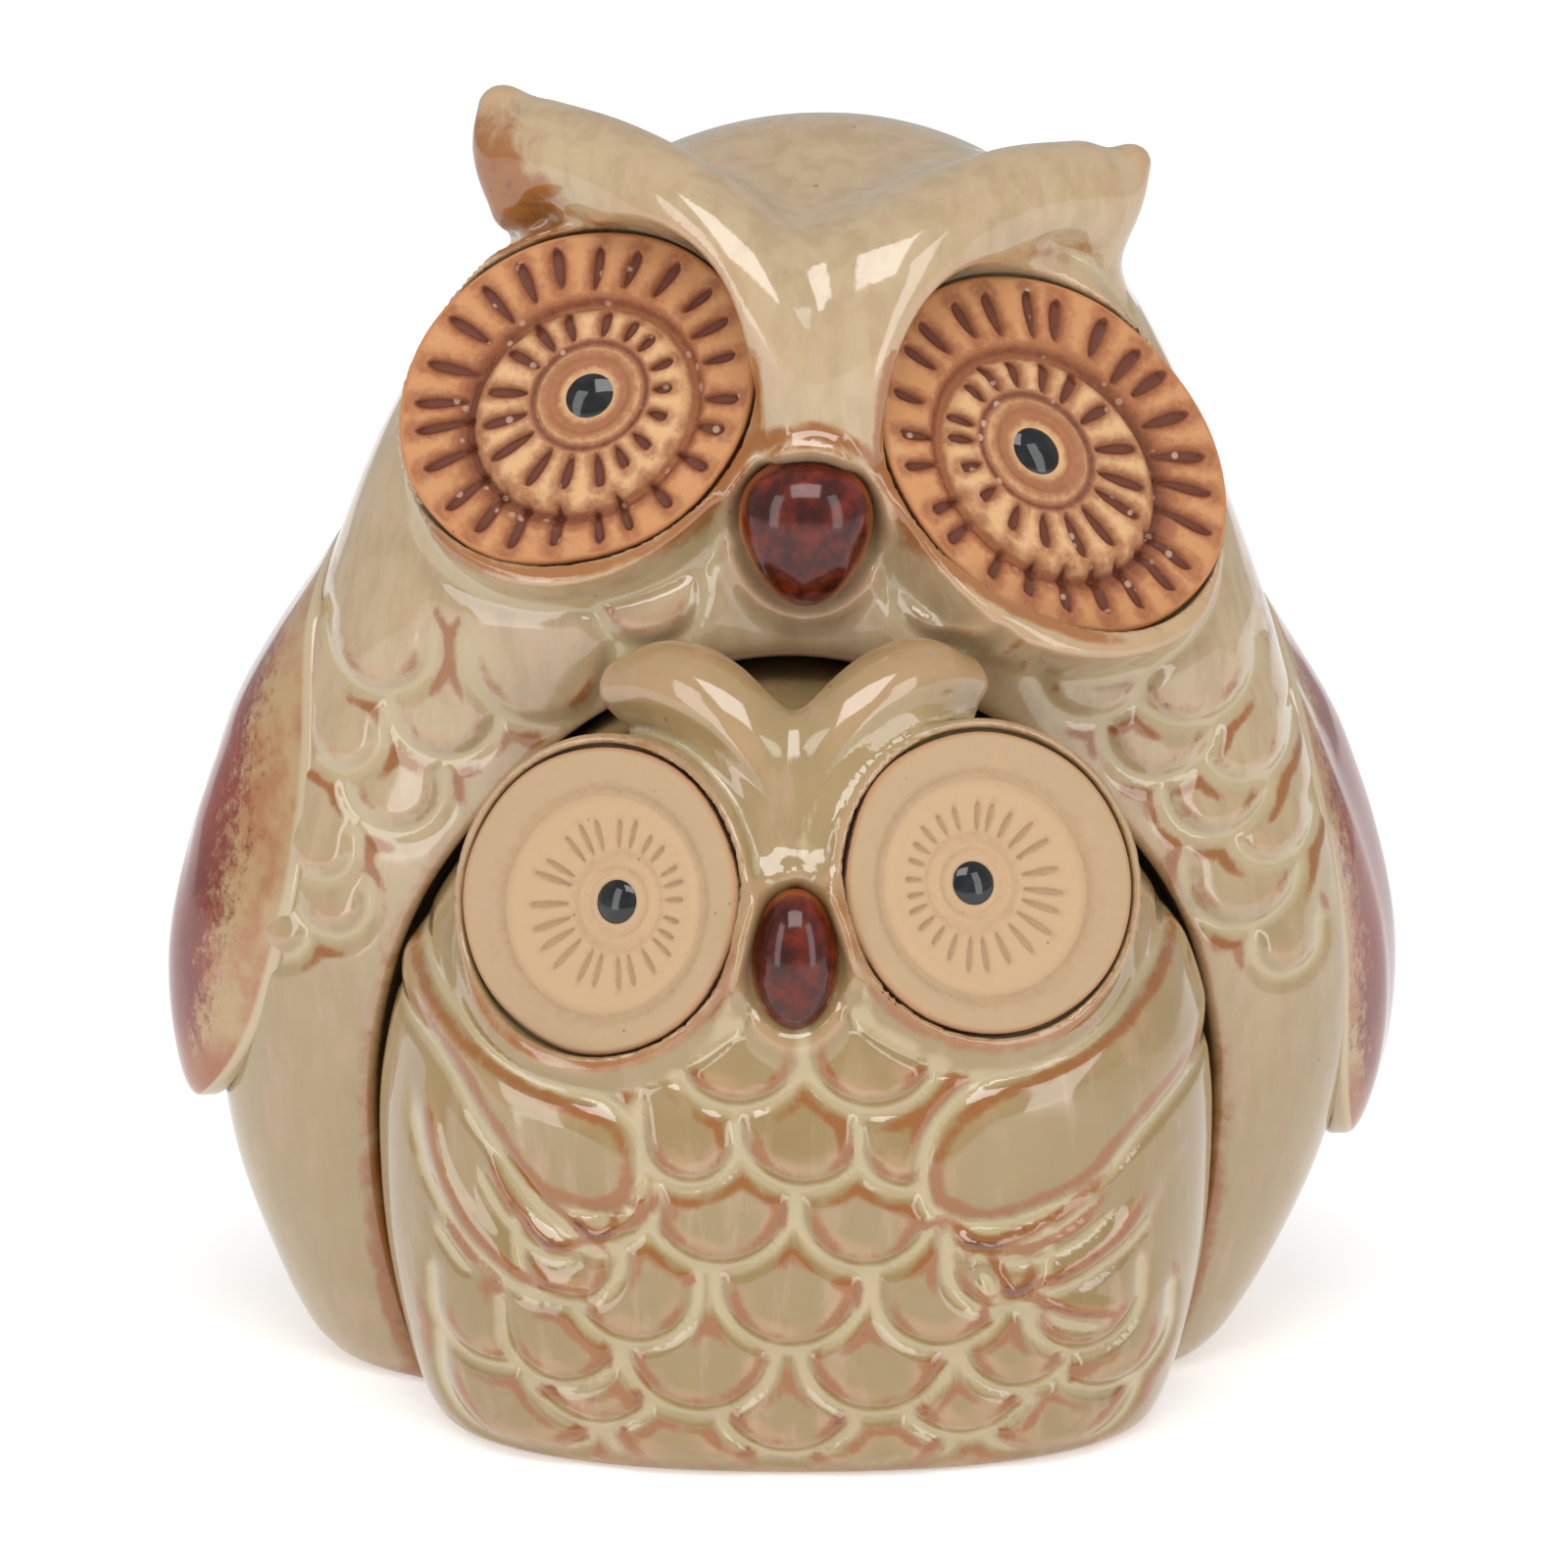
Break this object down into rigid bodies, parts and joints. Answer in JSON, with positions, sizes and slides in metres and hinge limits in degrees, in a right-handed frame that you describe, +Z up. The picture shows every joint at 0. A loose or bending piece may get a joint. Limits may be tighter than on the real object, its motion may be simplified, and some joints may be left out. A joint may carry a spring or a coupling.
{
  "type": "nesting owl figurine",
  "caption": "Glazed stoneware owl with round eye discs, tufted brows and side wings, and a smaller owl that stands in a niche in its front and slides out.",
  "frame": {"origin": "centre of the overall box at the plane both owls stand on", "axes": "+Z up; the owls face -Y; +X is to the right as seen from the front"},
  "size_m": [0.121, 0.0932, 0.1234],
  "materials": {
    "cream_glaze": "thick glossy celadon-cream glaze over iron-bearing stoneware, rust where it breaks over edges",
    "red_glaze": "glossy red-brown glaze",
    "orange_bisque": "matt terracotta bisque with brown-stained tool marks",
    "tan_bisque": "matt pale tan bisque",
    "brown_glaze": "glossy translucent dark red-brown glaze",
    "black_glaze": "glossy black glaze"
  },
  "bodies": {
    "adult": {"adult_body": "cream_glaze", "adult_wing_left": "red_glaze", "adult_wing_right": "red_glaze", "adult_eye_left": "orange_bisque", "adult_eye_right": "orange_bisque", "adult_pupil_left": "black_glaze", "adult_pupil_right": "black_glaze", "adult_beak": "brown_glaze"},
    "baby": {"baby_body": "cream_glaze", "baby_eye_left": "tan_bisque", "baby_eye_right": "tan_bisque", "baby_pupil_left": "black_glaze", "baby_pupil_right": "black_glaze", "baby_beak": "brown_glaze"}
  },
  "joints": [
    {"name": "baby_slide", "type": "slide", "parent": "adult", "child": "baby", "axis": [0, -1, 0], "range_m": [0, 0.085]}
  ]
}
